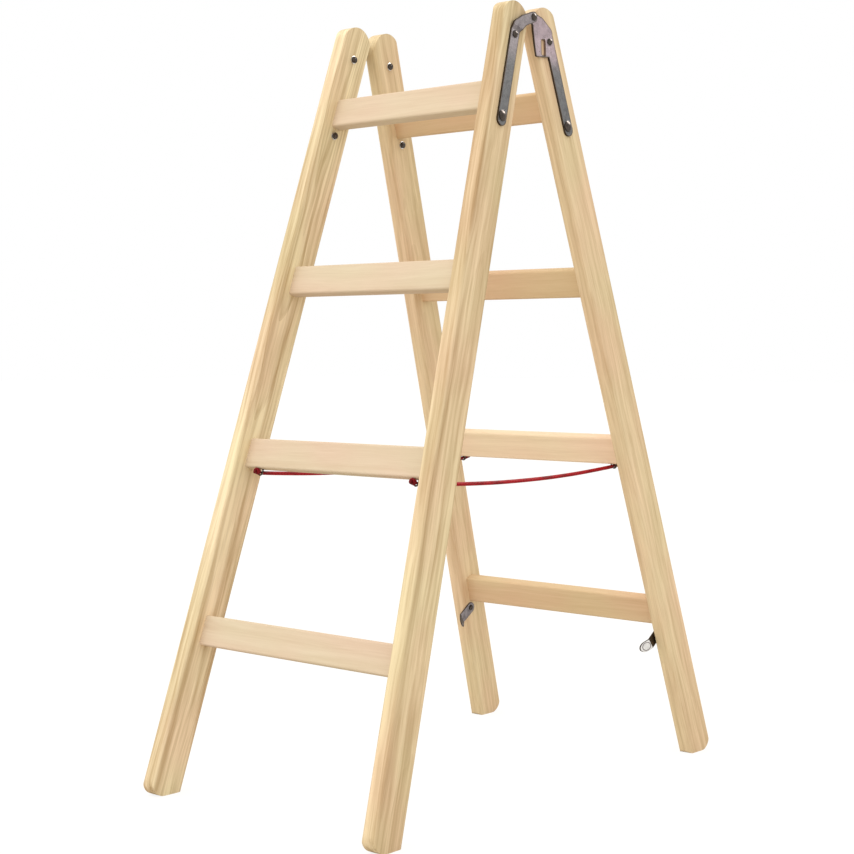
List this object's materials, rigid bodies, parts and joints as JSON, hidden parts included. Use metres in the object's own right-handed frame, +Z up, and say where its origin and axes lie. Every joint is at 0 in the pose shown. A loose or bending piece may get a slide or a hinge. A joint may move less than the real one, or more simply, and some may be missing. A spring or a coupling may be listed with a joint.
{
  "type": "double-sided step ladder",
  "caption": "Wooden step ladder with rungs on both sides: splayed frames hinged at the top by steel fittings, held apart by red cords and latched when folded.",
  "frame": {"origin": "on the floor, midway between the four feet, with the ladder standing open", "axes": "+X along the rungs, +Y from the front frame to the rear frame, +Z up"},
  "size_m": [0.4772, 0.8274, 1.1882],
  "materials": {
    "stile_pine": "planed pine, unvarnished, straight grain along the stile",
    "rung_pine": "planed pine, unvarnished, grain along the rung",
    "plate_steel": "zinc-plated sheet steel, dull",
    "fastener_steel": "zinc-plated, dull",
    "staple_wire": "zinc-plated wire",
    "red_cord": "braided synthetic cord, red"
  },
  "bodies": {
    "front_frame": {"front_stile_left": "stile_pine", "front_stile_right": "stile_pine", "front_rung_1": "rung_pine", "front_rung_2": "rung_pine", "front_rung_3": "rung_pine", "front_rung_4": "rung_pine", "hinge_plate_left": "plate_steel", "hinge_arm_right": "plate_steel", "pivot_rivet_right": "fastener_steel", "front_bolts": "fastener_steel", "front_washers": "plate_steel", "front_nuts": "fastener_steel", "front_staples": "staple_wire", "front_knots": "red_cord"},
    "rear_frame": {"rear_stile_left": "stile_pine", "rear_stile_right": "stile_pine", "rear_rung_1": "rung_pine", "rear_rung_2": "rung_pine", "rear_rung_3": "rung_pine", "rear_rung_4": "rung_pine", "hinge_arm_left": "plate_steel", "hinge_plate_right": "plate_steel", "pivot_rivet_left": "fastener_steel", "rear_bolts": "fastener_steel", "rear_washers": "plate_steel", "rear_nuts": "fastener_steel", "rear_staples": "staple_wire", "rear_knots": "red_cord", "latch_screws": "fastener_steel"},
    "latch_left": {"latch_left": "plate_steel"},
    "latch_right": {"latch_right": "plate_steel"},
    "cord_front_left": {"cord_front_left": "red_cord"},
    "cord_front_right": {"cord_front_right": "red_cord"},
    "cord_rear_left": {"cord_rear_left": "red_cord"},
    "cord_rear_right": {"cord_rear_right": "red_cord"}
  },
  "joints": [
    {"name": "fold", "type": "hinge", "parent": "front_frame", "child": "rear_frame", "pos_m": [0, 0, 1.16817], "axis": [-1, 0, 0], "range_deg": [0, 34], "deforming": ["cord_front_left", "cord_front_right", "cord_rear_left", "cord_rear_right"]},
    {"name": "latch_left_swing", "type": "hinge", "parent": "rear_frame", "child": "latch_left", "pos_m": [-0.20149, 0.31355, 0.20588], "axis": [0.9986, 0.0155, -0.0508], "range_deg": [-18, 64]},
    {"name": "latch_right_swing", "type": "hinge", "parent": "rear_frame", "child": "latch_right", "pos_m": [0.20149, 0.31355, 0.20588], "axis": [0.9986, -0.0155, 0.0508], "range_deg": [-18, 64]},
    {"name": "cord_front_left_swing", "type": "hinge", "parent": "front_frame", "child": "cord_front_left", "pos_m": [-0.16, -0.2375, 0.4814], "axis": [-1, 0, 0], "range_deg": [0, 98.5]},
    {"name": "cord_front_right_swing", "type": "hinge", "parent": "front_frame", "child": "cord_front_right", "pos_m": [0.16, -0.2375, 0.4814], "axis": [-1, 0, 0], "range_deg": [0, 98.5]},
    {"name": "cord_rear_left_swing", "type": "hinge", "parent": "rear_frame", "child": "cord_rear_left", "pos_m": [-0.16, 0.2375, 0.4814], "axis": [1, 0, 0], "range_deg": [0, 98.5]},
    {"name": "cord_rear_right_swing", "type": "hinge", "parent": "rear_frame", "child": "cord_rear_right", "pos_m": [0.16, 0.2375, 0.4814], "axis": [1, 0, 0], "range_deg": [0, 98.5]}
  ],
  "couplings": [
    {"joint": "cord_front_left_swing", "follows": "fold", "ratio": 2.8954},
    {"joint": "cord_front_right_swing", "follows": "fold", "ratio": 2.8954},
    {"joint": "cord_rear_left_swing", "follows": "fold", "ratio": 2.8954},
    {"joint": "cord_rear_right_swing", "follows": "fold", "ratio": 2.8954}
  ]
}
